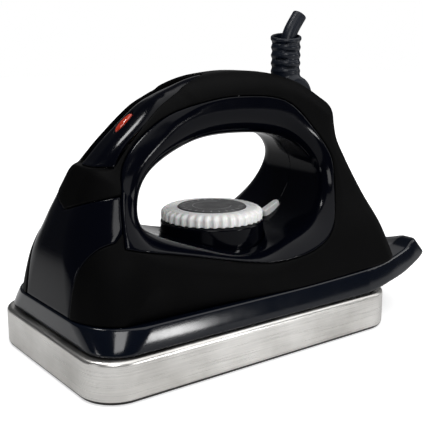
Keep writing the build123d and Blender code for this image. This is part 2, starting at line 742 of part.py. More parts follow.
def cord_guard():
    """The barrel with its trunnions and, as one moulding, the slotted guard above it."""
    barrel = axle(BARREL_X, BARREL_Z, -BARREL_HALF, BARREL_HALF, BARREL_RADIUS)
    trunnions = axle(BARREL_X, BARREL_Z, -TRUNNION_REACH, TRUNNION_REACH, TRUNNION_RADIUS)
    guard = post(GUARD_X, 0, BARREL_Z, GUARD_TOP, GUARD_NECK_RADIUS)
    for z in GUARD_RIBS:
        guard += post(GUARD_X, 0, z, z + RIB_HEIGHT, GUARD_RADIUS)
    guard += post(GUARD_X, 0, GUARD_TOP - 3, GUARD_TOP, GUARD_RADIUS)
    for turn, z in enumerate(GUARD_SLOTS):
        slot = block(-8, 8, -8, 8, z, z + SLOT_HEIGHT) - block(-SLOT_BRIDGE, SLOT_BRIDGE, -9, 9, z - 1, z + 3)
        guard -= Pos(GUARD_X, 0, 0) * Rot(0, 0, 90 * (turn + 1)) * slot
    bore = post(GUARD_X, 0, BARREL_Z - 4, BORE_FLARE_Z, CORD_RADIUS + FREE)
    flare_middle = Pos(GUARD_X, 0, (BORE_FLARE_Z + MOUTH_BOTTOM) / 2)
    bore += flare_middle * Cone(CORD_RADIUS + FREE, MOUTH_RADIUS, MOUTH_BOTTOM - BORE_FLARE_Z)
    bore += post(GUARD_X, 0, MOUTH_BOTTOM, GUARD_TOP + 1, MOUTH_RADIUS)
    entry = Pos(BARREL_X, 0, BARREL_Z - 6.0) * Cone(6.5, CORD_RADIUS + 1.5, 8.0)
    return barrel + trunnions + guard - bore - entry


def cord_end():
    """The plane of the cord's cut end."""
    return Plane(origin=(GUARD_X - CORD_REACH, 0, CORD_END_Z), z_dir=CORD_END_WAY)


def core_places():
    turns = [math.tau * i / 3 for i in range(3)]
    return [Pos(CORE_CIRCLE * math.cos(turn), CORE_CIRCLE * math.sin(turn)) for turn in turns]


def power_cord():
    """The cord outside the iron, a short cut length that leans back against its guard's mouth."""
    bottom = (GUARD_X, 0, 100)
    leaving = (GUARD_X, 0, CORD_LEAVES_Z)
    mouth = (GUARD_X - CORD_AT_MOUTH, 0, GUARD_TOP)
    lean = Spline(leaving, mouth, cord_end().origin, tangents=[(0, 0, 1), CORD_END_WAY])
    section = Plane(origin=bottom, z_dir=(0, 0, 1)) * Circle(CORD_RADIUS)
    cord = sweep(section, path=Wire([Line(bottom, leaving), lean]))
    for place in core_places():
        cord -= cord_end() * (place * Cylinder(CORE_RADIUS + RUNNING, 2 * CORE_DEPTH))
    return cord


def cord_cores():
    """The three cores that show at the cord's cut end."""
    core = Pos(0, 0, -CORE_DEPTH / 2 + 0.2) * Cylinder(CORE_RADIUS, CORE_DEPTH)
    return group(cord_end() * (place * core) for place in core_places())


def cord_lead():
    """The cord inside, from the barrel down the rear leg to the clamp."""
    path = [
        (-52.5, 0, 91), (-60, 0, 78), (-63.5, 0, 62), (-71.5, 0, 47), (-73, 0, 38),
        (-69, 0, 32.4), (-63, 0, WIRE_Z), (-58, 0, WIRE_Z),
    ]
    return rod(path, CORD_RADIUS - 0.2)


def cord_clamp():
    clamp = block(CORD_CLAMP_X - 2.7, CORD_CLAMP_X + 2.7, -11, 11, DECK_TOP, 36.4)
    clamp -= log(0, WIRE_Z, -70, -55, CORD_RADIUS + 1.2)
    for y in CORD_CLAMP_SCREWS_Y:
        clamp -= post(CORD_CLAMP_X, y, 20, 40, 1.6)
    return clamp


def cord_clamp_screws():
    return group(screw(CORD_CLAMP_X, y, 23, 36.4, 1.2, 2.5, 1.8) for y in CORD_CLAMP_SCREWS_Y)


def terminal_block():
    body = block(BLOCK_SCREW_X - 6, BLOCK_SCREW_X + 6, -14, 14, DECK_TOP, TERMINAL_TOP)
    for y in POLES:
        body -= log(y, WIRE_Z, -48, -34, 2.2)
        for x in TERMINALS_X:
            body -= post(x, y, WIRE_Z, 40, 1.45)
    for y in BLOCK_SCREWS_Y:
        body -= post(BLOCK_SCREW_X, y, 20, 40, 1.3)
    return body


def terminal_screws():
    return group(post(x, y, WIRE_Z + 1.3, TERMINAL_TOP - 0.4, 1.4) for y in POLES for x in TERMINALS_X)


def block_screws():
    return group(screw(BLOCK_SCREW_X, y, 23, TERMINAL_TOP, 1.2, 2.3, 1.6) for y in BLOCK_SCREWS_Y)


def mains_wires():
    """Live, earth and neutral cores between the cord's end and the terminal block."""
    wires = {}
    for name, y in zip(("live_wire", "earth_wire", "neutral_wire"), POLES):
        fan = [(-57.3, 0.24), (-53.8, 0.5), (-50, 0.95), (-44, 1.0)]
        wires[name] = rod([(x, y * share, WIRE_Z) for x, share in fan], WIRE_RADIUS)
    return wires


def heater_wires():
    """Links from the terminal block to the heater's pins, which they reach from above."""
    wires = []
    for side in (1, -1):
        path = [
            (-38, side * 9, WIRE_Z), (-33, side * 9, WIRE_Z), (-29, side * 14, WIRE_Z),
            (-34, side * 20, WIRE_Z), (-48, side * 24, WIRE_Z + 2), (-57, side * 26, WIRE_Z + 4),
        ]
        wires.append(rod(path, WIRE_RADIUS))
    return group(wires)


def earth_link():
    """The link that earths the thermostat's base and with it the plate."""
    path = [(-37, 0, WIRE_Z), (-34.5, 0, WIRE_Z - 0.3), (-31, 0, 28), (-29, 0, 23), (-26.5, 0, 20.8)]
    return rod(path, WIRE_RADIUS)


def all_pieces():
    """Every piece by its name."""
    hollow = hollow_housing()
    left, right = handle_liners(hollow)
    rest = hollow - liner_zone(SEAM)
    pieces = {
        "outer_shell": outer_shell(rest),
        "nose_cover": nose_cover(rest),
        "lamp_cover": lamp_cover(rest),
        "liner_left": left,
        "liner_right": right,
        "dial_pointer": pointer_bar(0),
    }
    alone = [
        sole_plate, heating_element, heater_clamp_plate, clamp_plate_screws, heater_seals, heater_pins,
        insulating_spacers, sole_screws, heat_shield, base_skirt, housing_screws,
        lamp_lens, neon_lamp, lamp_resistor, lamp_wires,
        dial_knob, dial_disc, dial_clip, dial_pedestal,
        thermostat_bracket, thermostat_screws, spindle_bush, thermostat_spindle, setting_pin, thermostat_base,
        bimetal_strip, contact_leaves, contact_points, ceramic_washers, stack_rivet, bimetal_bead, terminal_tabs,
        thermal_fuse, fuse_sleeve, fuse_clip, fuse_clip_screw,
        cord_guard, power_cord, cord_cores, cord_lead, cord_clamp, cord_clamp_screws,
        terminal_block, terminal_screws, block_screws, heater_wires, earth_link,
    ]
    for make in alone:
        pieces[make.__name__] = make()
    pieces.update(mains_wires())
    return pieces


os.makedirs("parts", exist_ok=True)
for name, piece in all_pieces().items():
    export_step(piece, f"parts/{name}.step")
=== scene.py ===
import json
import math

import bpy
import numpy as np
import openvdb
from mathutils import Matrix, Vector


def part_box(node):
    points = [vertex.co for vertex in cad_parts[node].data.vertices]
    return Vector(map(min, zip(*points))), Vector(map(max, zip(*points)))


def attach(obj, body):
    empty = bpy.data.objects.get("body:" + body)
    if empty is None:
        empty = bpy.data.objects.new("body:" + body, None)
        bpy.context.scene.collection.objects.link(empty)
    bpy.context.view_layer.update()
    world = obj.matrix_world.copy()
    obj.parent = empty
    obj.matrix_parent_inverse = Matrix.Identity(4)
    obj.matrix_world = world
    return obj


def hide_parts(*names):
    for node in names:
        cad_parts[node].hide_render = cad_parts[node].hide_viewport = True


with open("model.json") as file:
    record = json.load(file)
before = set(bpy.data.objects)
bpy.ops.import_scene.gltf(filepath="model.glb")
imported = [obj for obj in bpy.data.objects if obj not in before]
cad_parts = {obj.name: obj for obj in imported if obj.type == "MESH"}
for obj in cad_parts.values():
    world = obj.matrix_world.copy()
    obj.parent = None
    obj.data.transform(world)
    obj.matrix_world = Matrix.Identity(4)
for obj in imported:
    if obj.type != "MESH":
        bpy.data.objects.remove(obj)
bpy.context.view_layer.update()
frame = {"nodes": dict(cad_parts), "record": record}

# The waxing iron's visible mouldings are built as smooth solids on a fine grid of sample points. Each solid
# is a field that is negative inside it, in millimetres, in the frame's own axes.

MM = 0.001


def box_mm(node):
    """The lowest and highest corner of a CAD node, in millimetres."""
    low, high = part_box(node)
    return np.array(low) / MM, np.array(high) / MM


# ---- Places and names worked out from the frame ----

SLOT_OF = {row["node"]: row["material_slot"] for row in frame["record"]["subparts"]}
BODY_OF = {node: body for body, nodes in frame["record"]["behaviour"]["bodies"].items() for node in nodes}

SOLE_LOW, SOLE_HIGH = box_mm("sole_plate")
SKIRT_LOW, SKIRT_HIGH = box_mm("base_skirt")
SHELL_LOW, SHELL_HIGH = box_mm("outer_shell")
KNOB_LOW, KNOB_HIGH = box_mm("dial_knob")
DISC_LOW, DISC_HIGH = box_mm("dial_disc")
DRUM_LOW, DRUM_HIGH = box_mm("dial_pedestal")
POINTER_LOW, POINTER_HIGH = box_mm("dial_pointer")
GUARD_LOW, GUARD_HIGH = box_mm("cord_guard")
CORD_LOW, CORD_HIGH = box_mm("power_cord")

SOLE_FRONT = SOLE_HIGH[0]
BASE_Z = SHELL_LOW[2]
CROWN_Z = SHELL_HIGH[2]
NOSE_X = SHELL_HIGH[0]
TAIL_X = SHELL_LOW[0]
BASE_HALF = SHELL_HIGH[1]
DIAL_X = (KNOB_LOW[0] + KNOB_HIGH[0]) / 2
KNOB_RADIUS = (KNOB_HIGH[0] - KNOB_LOW[0]) / 2
KNOB_TOP = KNOB_HIGH[2]
DRUM_RADIUS = (DRUM_HIGH[0] - DRUM_LOW[0]) / 2
BARREL_RADIUS = (GUARD_HIGH[0] - GUARD_LOW[0]) / 2
BARREL_X = (GUARD_LOW[0] + GUARD_HIGH[0]) / 2
BARREL_Z = GUARD_LOW[2] + BARREL_RADIUS
CORD_RADIUS = (CORD_HIGH[1] - CORD_LOW[1]) / 2

# ---- Mouldings in general ----

WALL = 2.4             # thickness
SEAM = 0.1             # from a moulding's edge to the middle of the seam
LIP = 0.55             # rounding of the edges at the seams


# ---- Curves and fields ----

def smooth_curve(points, closed, spans=10):
    """Points along a smooth curve through the given ones."""
    given = np.array(points, float)
    count = len(given)
    out = []
    for i in range(count if closed else count - 1):
        if closed:
            p0, p1, p2, p3 = (given[(i + k) % count] for k in (-1, 0, 1, 2))
        else:
            p0, p1, p2, p3 = (given[min(max(i + k, 0), count - 1)] for k in (-1, 0, 1, 2))
        for t in np.arange(spans) / spans:
            out.append(0.5 * (2 * p1 + (p2 - p0) * t + (2 * p0 - 5 * p1 + 4 * p2 - p3) * t ** 2
                              + (3 * p1 - p0 - 3 * p2 + p3) * t ** 3))
    if not closed:
        out.append(given[-1])
    return np.array(out)


def along(curve, where):
    """A smooth curve's height or width at a place, level beyond its ends. Its points run either way."""
    points = smooth_curve(sorted(curve), False, 12)
    return np.interp(where, points[:, 0], points[:, 1])


def between(ends, share):
    """A value that runs straight from the first to the second."""
    return ends[0] + (ends[1] - ends[0]) * share


def signed_distance(outline, a, b):
    """Distance from a closed outline in one view: negative inside."""
    nearest = np.full(np.broadcast(a, b).shape, 1e9)
    inside = np.zeros(nearest.shape, bool)
    for (a0, b0), (a1, b1) in zip(outline, np.roll(outline, -1, axis=0)):
        da = a1 - a0
        db = b1 - b0
        length = da * da + db * db
        if length < 1e-12:
            continue
        t = np.clip(((a - a0) * da + (b - b0) * db) / length, 0, 1)
        nearest = np.minimum(nearest, (a - a0 - t * da) ** 2 + (b - b0 - t * db) ** 2)
        if db != 0:
            crosses = (b0 > b) != (b1 > b)
            inside ^= crosses & (a < a0 + (b - b0) * da / db)
    nearest = np.sqrt(nearest)
    return np.where(inside, -nearest, nearest)


def round_max(a, b, radius):
    """Where two solids overlap, with their shared edge rounded."""
    corner = np.hypot(np.maximum(a + radius, 0), np.maximum(b + radius, 0))
    return np.minimum(np.maximum(a, b), -radius) + corner


def round_min(a, b, radius):
    """Two solids joined, with a fillet between them."""
    return -round_max(-a, -b, radius)


def tilted(grid, centre, tilt):
    """Distances along and across a line through a centre, tilted down to the front in side view."""
    dx = grid.x - centre[0]
    dz = grid.z - centre[2]
    return dx * math.cos(tilt) - dz * math.sin(tilt), dx * math.sin(tilt) + dz * math.cos(tilt)


class Grid:
    """Sample points that fill a box and a margin round it, in millimetres."""

    def __init__(self, low, high, step):
        self.step = step * 1.0
        margin = 2.5 * self.step
        self.low = np.array(low, float) - margin
        counts = np.ceil((np.array(high, float) + margin - self.low) / self.step).astype(int) + 1
        axes = [self.low[i] + self.step * np.arange(counts[i]) for i in range(3)]
        self.x = axes[0][:, None, None]
        self.y = axes[1][None, :, None]
        self.z = axes[2][None, None, :]


def trilinear(values, where):
    """Values between the sample points, at positions counted in steps."""
    base = np.clip(np.floor(where).astype(int), 0, np.array(values.shape) - 2)
    part = where - base
    total = 0.0
    for corner in np.ndindex(2, 2, 2):
        weight = np.prod(np.where(np.array(corner) == 1, part, 1 - part), axis=1)
        index = base + corner
        total = total + weight * values[index[:, 0], index[:, 1], index[:, 2]]
    return total


def slope_at(slopes, points):
    """The field's slope along each axis, at positions counted in steps."""
    return np.stack([trilinear(slope, points) for slope in slopes], axis=1)


def drawn_onto_zero(field, points, step):
    """The points moved along the slope to where the field is zero, and the slope there."""
    slopes = np.gradient(field, step)
    furthest = 0.3 * step
    for _ in range(2):
        slope = slope_at(slopes, points)
        steep = np.maximum((slope ** 2).sum(axis=1), 0.25)
        shift = np.clip(trilinear(field, points) / steep, -furthest, furthest)
        points = points - shift[:, None] * slope / step
    return points, slope


def add_mesh(name, points, faces):
    """A smooth-shaded mesh in the scene."""
    mesh = bpy.data.meshes.new(name)
    mesh.from_pydata(points, [], faces)
    mesh.shade_smooth()
    piece = bpy.data.objects.new(name, mesh)
    bpy.context.scene.collection.objects.link(piece)
    return piece


def piece_from_field(name, grid, field, whole=None):
    """A closed mesh where the field is zero, shaded by its own slopes.

    A piece cut from a larger whole takes the whole's shading, so that no line shows at the cut.
    """
    step = grid.step
    field = np.broadcast_to(field, np.broadcast(grid.x, grid.y, grid.z).shape).copy()
    for axis in range(3):
        ends = [slice(None)] * 3
        for side in (0, -1):
            ends[axis] = side
            field[tuple(ends)] = np.maximum(field[tuple(ends)], step)
    band = 3 * step
    volume = openvdb.FloatGrid(background=band)
    volume.copyFromArray(np.clip(field, -band, band).astype(np.float32))
    points, quads = volume.convertToQuads(isovalue=0.0)
    points, slope = drawn_onto_zero(field, points, step)
    if whole is not None:
        on_whole = np.abs(trilinear(whole, points)) < 0.2 * step
        slope = np.where(on_whole[:, None], slope_at(np.gradient(whole, step), points), slope)
    normals = slope / np.maximum(np.linalg.norm(slope, axis=1), 1e-6)[:, None]
    places = (points * step + grid.low) * MM
    first = places[quads]
    facing = np.cross(first[:, 2] - first[:, 0], first[:, 3] - first[:, 1])
    if (facing * normals[quads[:, 0]]).sum() < 0:
        quads = quads[:, ::-1]
    piece = add_mesh(name, places.tolist(), quads.tolist())
    piece.data.normals_split_custom_set_from_vertices(normals.tolist())
    return piece


def place(piece, node):
    """Puts a finished piece in a CAD node's place, on its body and with its finish."""
    slot = SLOT_OF[node]
    piece.data.materials.append(MATERIALS[slot])
    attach(piece, BODY_OF[node])
    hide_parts(node)


# ---- Materials ----

class Nodes:
    """A short way to write a node material."""

    def __init__(self, name):
        self.material = bpy.data.materials.new(name)
        self.material.use_nodes = True
        self.tree = self.material.node_tree
        self.shader = self.tree.nodes["Principled BSDF"]
        self.place = self.add("ShaderNodeTexCoord").outputs["Object"]

    def add(self, kind, **values):
        node = self.tree.nodes.new(kind)
        for key, value in values.items():
            setattr(node, key, value)
        return node

    def link(self, source, target):
        self.tree.links.new(source, target)

    def set(self, **values):
        for key, value in values.items():
            self.shader.inputs[key.replace("_", " ")].default_value = value

    def maths(self, operation, *terms):
        """One step of arithmetic on numbers and on other nodes' outputs."""
        node = self.add("ShaderNodeMath", operation=operation)
        for socket, term in zip(node.inputs, terms):
            if hasattr(term, "links"):
                self.link(term, socket)
            else:
                socket.default_value = term
        return node.outputs[0]

    def mix(self, share, low, high, blend_type="MIX"):
        """A colour between two, each of them a colour or another node's output."""
        mix = self.add("ShaderNodeMix", data_type="RGBA", blend_type=blend_type)
        for term, socket in ((share, mix.inputs["Factor"]), (low, mix.inputs["A"]), (high, mix.inputs["B"])):
            if hasattr(term, "links"):
                self.link(term, socket)
            elif isinstance(term, tuple):
                socket.default_value = (*term, 1)
            else:
                socket.default_value = term
        return mix.outputs["Result"]

    def spread(self, value, low, high, start=0.3, end=0.7):
        """A value between start and end, as most noise has, turned into a number between low and high."""
        spread = self.add("ShaderNodeMapRange")
        spread.inputs["From Min"].default_value = start
        spread.inputs["From Max"].default_value = end
        spread.inputs["To Min"].default_value = low
        spread.inputs["To Max"].default_value = high
        self.link(value, spread.inputs["Value"])
        return spread.outputs["Result"]

    def noise(self, scale, detail=3.0, stretch=(1, 1, 1)):
        mapping = self.add("ShaderNodeMapping")
        mapping.inputs["Scale"].default_value = stretch
        self.link(self.place, mapping.inputs["Vector"])
        noise = self.add("ShaderNodeTexNoise")
        noise.inputs["Scale"].default_value = scale
        noise.inputs["Detail"].default_value = detail
        self.link(mapping.outputs["Vector"], noise.inputs["Vector"])
        return noise.outputs["Fac"]

    def colour(self, value, low, high):
        self.link(self.mix(value, low, high), self.shader.inputs["Base Color"])

    def roughness(self, value, low, high):
        self.link(self.spread(value, low, high), self.shader.inputs["Roughness"])

    def facing_down(self):
        """One on slopes that face partly down, nought on upright and on level ones; the mask for the sole's
        painted shade.
        """
        split = self.add("ShaderNodeSeparateXYZ")
        self.link(self.add("ShaderNodeNewGeometry").outputs["Normal"], split.inputs["Vector"])
        return self.maths("COMPARE", split.outputs["Z"], -0.62, 0.34)

    def bump(self, value, depth, strength=1.0):
        bump = self.add("ShaderNodeBump")
        bump.inputs["Distance"].default_value = depth * MM
        bump.inputs["Strength"].default_value = strength
        self.link(value, bump.inputs["Height"])
        previous = self.shader.inputs["Normal"]
        if previous.is_linked:
            self.link(previous.links[0].from_socket, bump.inputs["Normal"])
        self.link(bump.outputs["Normal"], previous)


def matte_black():
    """Fine-grained moulded plastic."""
    nodes = Nodes("matte_black_plastic")
    nodes.colour(nodes.noise(35), (0.0006, 0.0006, 0.0007), (0.0013, 0.0013, 0.0014))
    nodes.roughness(nodes.noise(60), 0.48, 0.6)
    nodes.bump(nodes.noise(2600, 2), 0.012, 0.6)
    nodes.set(Specular_IOR_Level=0.035)
    return nodes.material


def glossy(name, low, high, roughness, shine):
    """Polished moulded plastic with the faint waviness that mouldings have."""
    nodes = Nodes(name)
    nodes.colour(nodes.noise(30), low, high)
    nodes.roughness(nodes.noise(90, 4), *roughness)
    nodes.bump(nodes.noise(45, 1), 0.05, 0.35)
    nodes.bump(nodes.noise(1800, 3), 0.004, 0.3)
    nodes.set(Specular_IOR_Level=shine)
    return nodes.material


def brushed_sole():
    """Satin aluminium, brushed along its sides, blotchy with wear, with painted shade darkening its
    down-facing lower edge.
    """
    nodes = Nodes("brushed_sole_aluminium")
    streaks = nodes.noise(60, 6, (0.6, 0.6, 45))
    blotches = nodes.spread(nodes.noise(28, 6), 0.0, 1.0)
    worn = nodes.mix(blotches, (0.50, 0.485, 0.46), (0.86, 0.845, 0.82))
    brushed = nodes.mix(streaks, (0.70, 0.70, 0.70), (1.1, 1.1, 1.1))
    metal = nodes.mix(1.0, worn, brushed, "MULTIPLY")
    # Painted shade: slopes facing down are darkened to near black, standing in for the shadow under the
    # plate's rounded lower edge.
    metal_with_painted_shade = nodes.mix(nodes.facing_down(), metal, (0.03, 0.028, 0.026))
    nodes.link(metal_with_painted_shade, nodes.shader.inputs["Base Color"])
    nodes.roughness(streaks, 0.24, 0.44)
    nodes.bump(streaks, 0.05, 0.6)
    nodes.bump(nodes.noise(900, 4), 0.02, 0.5)
    nodes.set(Metallic=1.0)
    return nodes.material


def plain_metal(name, low, high, rough, scale=140):
    nodes = Nodes(name)
    grain = nodes.noise(scale, 4)
    nodes.colour(grain, low, high)
    nodes.roughness(grain, rough * 0.8, rough * 1.25)
    nodes.bump(grain, 0.02, 0.4)
    nodes.set(Metallic=1.0)
    return nodes.material


def plain_plastic(name, low, high, rough, grain_scale=900, depth=0.008, soft=0.0):
    nodes = Nodes(name)
    nodes.colour(nodes.noise(50), low, high)
    nodes.roughness(nodes.noise(160, 4), rough * 0.85, rough * 1.15)
    nodes.bump(nodes.noise(grain_scale, 3), depth, 0.5)
    nodes.set(Subsurface_Weight=soft, Subsurface_Scale=0.002)
    return nodes.material


def clear_red():
    """Clear red plastic over the lamp's recess, which is not lit."""
    nodes = Nodes("lens_red_plastic")
    nodes.colour(nodes.noise(260, 2), (0.30, 0.012, 0.006), (0.55, 0.045, 0.012))
    nodes.roughness(nodes.noise(300), 0.05, 0.12)
    nodes.bump(nodes.noise(420, 2), 0.08, 0.5)
    nodes.set(Coat_Weight=0.6, Coat_Roughness=0.04)
    return nodes.material


TICKS_ROUND = 24             # ticks to a full turn, of which the scale's arc holds fewer
TICK_HALF = 0.07             # half a tick's width, in tick spacings
TICK_BAND = (12.9, 1.0)      # the middle of the ticks' band, and half its width
SCALE_RING = (8.4, 0.12)
SCALE_ARC = 9.6              # to each side of the scale's middle, in tick spacings


def scale_disc():
    """Satin dark disc with pale tick marks and a ring inside them."""
    nodes = Nodes("dial_scale_disc")
    ground = nodes.mix(nodes.noise(120), (0.040, 0.040, 0.043), (0.058, 0.058, 0.061))
    split = nodes.add("ShaderNodeSeparateXYZ")
    nodes.link(nodes.place, split.inputs["Vector"])
    across = nodes.maths("SUBTRACT", split.outputs["X"], DIAL_X * MM)
    side = split.outputs["Y"]
    squares = nodes.maths("ADD", nodes.maths("MULTIPLY", across, across), nodes.maths("MULTIPLY", side, side))
    reach = nodes.maths("SQRT", squares)
    turn = nodes.maths("MULTIPLY", nodes.maths("ARCTAN2", side, across), TICKS_ROUND / math.tau)
    near_tick = nodes.maths("COMPARE", nodes.maths("FRACT", turn), 0.5, TICK_HALF)
    in_band = nodes.maths("COMPARE", reach, TICK_BAND[0] * MM, TICK_BAND[1] * MM)
    in_arc = nodes.maths("LESS_THAN", nodes.maths("ABSOLUTE", turn), SCALE_ARC)
    ring = nodes.maths("COMPARE", reach, SCALE_RING[0] * MM, SCALE_RING[1] * MM)
    either = nodes.maths("MAXIMUM", nodes.maths("MULTIPLY", near_tick, in_band), ring)
    marked = nodes.mix(nodes.maths("MULTIPLY", either, in_arc), ground, (0.42, 0.42, 0.42))
    nodes.link(marked, nodes.shader.inputs["Base Color"])
    nodes.roughness(nodes.noise(200), 0.35, 0.5)
    nodes.bump(nodes.noise(1500), 0.006, 0.5)
    return nodes.material


def green_yellow():
    """Earth wire insulation: green with a yellow stripe."""
    nodes = Nodes("wire_green_yellow")
    wave = nodes.add("ShaderNodeTexWave")
    wave.inputs["Scale"].default_value = 120
    nodes.link(nodes.place, wave.inputs["Vector"])
    nodes.colour(wave.outputs["Fac"], (0.03, 0.22, 0.04), (0.75, 0.62, 0.03))
    nodes.roughness(nodes.noise(300), 0.35, 0.5)
    return nodes.material


def outer_materials():
    """The finishes that show outside, by the record's slots."""
    skirt = ((0.0010, 0.0020, 0.0050), (0.0018, 0.0032, 0.0070))
    gloss = ((0.0006, 0.0008, 0.0022), (0.0012, 0.0016, 0.0036))
    rubber = ((0.0020, 0.0038, 0.0085), (0.0036, 0.0060, 0.0120))
    white = ((0.86, 0.86, 0.85), (0.93, 0.93, 0.92))
    return {
        "sole_aluminium": brushed_sole(),
        "skirt_plastic": glossy("gloss_skirt_plastic", *skirt, (0.10, 0.17), 0.3),
        "shell_plastic": matte_black(),
        "gloss_black": glossy("gloss_black_plastic", *gloss, (0.09, 0.14), 0.1),
        "lens_red": clear_red(),
        "knob_white": plain_plastic("white_dial_plastic", *white, 0.30, soft=0.1),
        "disc_grey": scale_disc(),
        "cord_rubber": glossy("cord_rubber", *rubber, (0.30, 0.45), 0.25),
    }


def inner_materials():
    """The finishes of the working parts inside, by the record's slots."""
    steel = plain_metal("zinc_steel", (0.50, 0.50, 0.51), (0.68, 0.68, 0.69), 0.34)
    sheet = plain_metal("galvanised_sheet", (0.45, 0.46, 0.47), (0.68, 0.69, 0.70), 0.4, 60)
    ceramic = ((0.78, 0.75, 0.69), (0.88, 0.86, 0.80))
    silicone = ((0.55, 0.53, 0.48), (0.68, 0.66, 0.62))
    woven = ((0.62, 0.58, 0.46), (0.75, 0.72, 0.6))
    return {
        "heater_steel": plain_metal("heater_sheath", (0.16, 0.14, 0.13), (0.36, 0.33, 0.30), 0.45, 90),
        "sheet_aluminium": sheet,
        "sheet_steel": sheet,
        "screw_steel": steel,
        "spring_steel": steel,
        "brass_fittings": plain_metal("brass", (0.58, 0.42, 0.16), (0.75, 0.58, 0.27), 0.28),
        "contact_silver": plain_metal("contact_silver", (0.80, 0.80, 0.79), (0.9, 0.9, 0.89), 0.15),
        "bimetal": plain_metal("bimetal", (0.45, 0.36, 0.28), (0.60, 0.52, 0.44), 0.35),
        "ceramic_white": plain_plastic("white_ceramic", *ceramic, 0.55, 500, 0.02),
        "lamp_glass": plain_plastic("lamp_glass", (0.85, 0.62, 0.5), (0.9, 0.75, 0.65), 0.08),
        "resistor_body": plain_plastic("resistor", (0.45, 0.34, 0.2), (0.6, 0.47, 0.3), 0.4),
        "block_white": plain_plastic("terminal_plastic", (0.72, 0.71, 0.66), (0.80, 0.79, 0.75), 0.5),
        "wire_brown": plain_plastic("wire_brown", (0.14, 0.05, 0.02), (0.2, 0.08, 0.03), 0.4),
        "wire_blue": plain_plastic("wire_blue", (0.02, 0.08, 0.35), (0.03, 0.12, 0.45), 0.4),
        "wire_green_yellow": green_yellow(),
        "wire_heatproof": plain_plastic("heatproof_sleeving", *silicone, 0.6, 2000, 0.03),
        "fuse_sleeving": plain_plastic("woven_sleeving", *woven, 0.7, 3000, 0.05),
    }


def dress_cad_nodes():
    """Gives each CAD node the node material of its slot."""
    for name, node in frame["nodes"].items():
        node.data.materials.clear()
        node.data.materials.append(MATERIALS[SLOT_OF[name]])


# ---- Sole ----

SOLE_GRID = 0.5
SOLE_CORNER = 14.7
SOLE_TOP_EDGE = 1.6
SOLE_BOTTOM_EDGE = 2.4
HEATER_REACH = 26.0          # from the centre plane to the heater's legs
HEATER_BEND_X = 30.0
HEATER_END_X = -61.4
HEATER_HALF = 3.4
HEATER_FLOOR = 9.4
HOLE_FLOOR = 8.4
# Screw holes on the centre plane and in pairs beside it: x, y and radius
SOLE_HOLES = [(54, 28, 1.6), (-68, 18, 1.6), (-34, 33.5, 1.35), (14, 33.5, 1.35), (-24.3, 0, 1.35),
              (9.7, 0, 1.35), (39, 0, 1.35)]


def build_sole():
    """The thick plate with its groove for the heater and its screw holes."""
    grid = Grid(SOLE_LOW, SOLE_HIGH, SOLE_GRID)
    middle = (SOLE_LOW[0] + SOLE_HIGH[0]) / 2
    ends = np.abs(grid.x - middle) - (SOLE_HIGH[0] - SOLE_LOW[0]) / 2
    plan = round_max(ends, np.abs(grid.y) - SOLE_HIGH[1], SOLE_CORNER)
    plate = round_max(plan, grid.z - SOLE_HIGH[2], SOLE_TOP_EDGE)
    plate = round_max(plate, SOLE_LOW[2] - grid.z, SOLE_BOTTOM_EDGE)
    bend = np.hypot(np.maximum(grid.x - HEATER_BEND_X, 0), grid.y)
    groove = np.maximum(np.abs(bend - HEATER_REACH) - HEATER_HALF, HEATER_END_X - grid.x)
    plate = np.maximum(plate, -np.maximum(groove, HEATER_FLOOR - grid.z))
    for x, y, radius in SOLE_HOLES:
        hole = np.maximum(np.hypot(grid.x - x, np.abs(grid.y) - y) - radius, HOLE_FLOOR - grid.z)
        plate = np.maximum(plate, -hole)
    place(piece_from_field("sole_casting", grid, plate), "sole_plate")


# ---- Skirt ----

SKIRT_GRID = 0.5
SKIRT_BOTTOM = SKIRT_LOW[2]
SKIRT_LINE = BASE_Z - 0.25
# Side view: the skirt's upper edge, which climbs to the heel rest's tip, and its lower edge
UPPER_EDGE = [(-104, 34.2), (-101, 33.5), (-98.5, 32.2), (-95.4, 31.0), (-88.6, 29.9), (-81, 29.0),
              (-73, 28.1), (-66, 27.6), (-48, 26.9), (-27, SKIRT_LINE + 0.05), (-10, SKIRT_LINE)]
LOWER_EDGE = [(-110, 27.2), (-106.2, 24.7), (-98.9, 22.4), (-89.5, 20.4), (-78.5, 19.2), (-73.5, 18.5),
              (-66, SKIRT_BOTTOM + 0.4), (-58, SKIRT_BOTTOM)]
TIP_TOP_Z = 34.3
TIP_LOW = (SKIRT_LOW[0], 27.2)
TIP_SLANT = math.atan2(6.0, 7.0)
TIP_CORNER = 2.0
HEEL_NARROWS = [(-62, 0), (-70, 0.9), (-80, 2.4), (-90, 4.6), (-100, 7.0), (-110, 9.4)]
DISH_DEPTH = [(-104, 5.6), (-96, 3.8), (-88, 2.2), (-80, 1.5)]
DISH_HALF = 27.0
DISH_FRONT_X = -70.0
SIDE_TAPER = 2.3             # each side draws in by this, more and more towards the top
SKIRT_TOP_EDGE = 0.5
SKIRT_BOTTOM_EDGE = 0.8
# Pairs of values, at the skirt's foot and at its top, for its outside and for the hollow in it
SKIRT_FRONT = (SKIRT_HIGH[0] - 0.6, SKIRT_HIGH[0])
SKIRT_CORNER = (14, 23)
CAVITY_FRONT = (SKIRT_HIGH[0] - 3.5, SKIRT_HIGH[0] - 2.9)
CAVITY_REAR = (-74.6, -81.6)
CAVITY_HALF = (SKIRT_HIGH[1] - 2.9, SKIRT_HIGH[1] - 5.1)
CAVITY_CORNER = (11, 15)
DECK_MIDDLE = 25.1
DECK_HALF = 1.1
WINDOW_X = 2.5               # the middle of the opening in the deck
WINDOW_HALF = (35.5, 30.0)


def skirt_top(grid):
    """The skirt's upper surface: level round the housing, dished behind it."""
    dish = np.clip(1 - (grid.y / DISH_HALF) ** 2, 0, 1) ** 1.2
    return along(UPPER_EDGE, grid.x) - along(DISH_DEPTH, grid.x) * dish * (grid.x < DISH_FRONT_X)


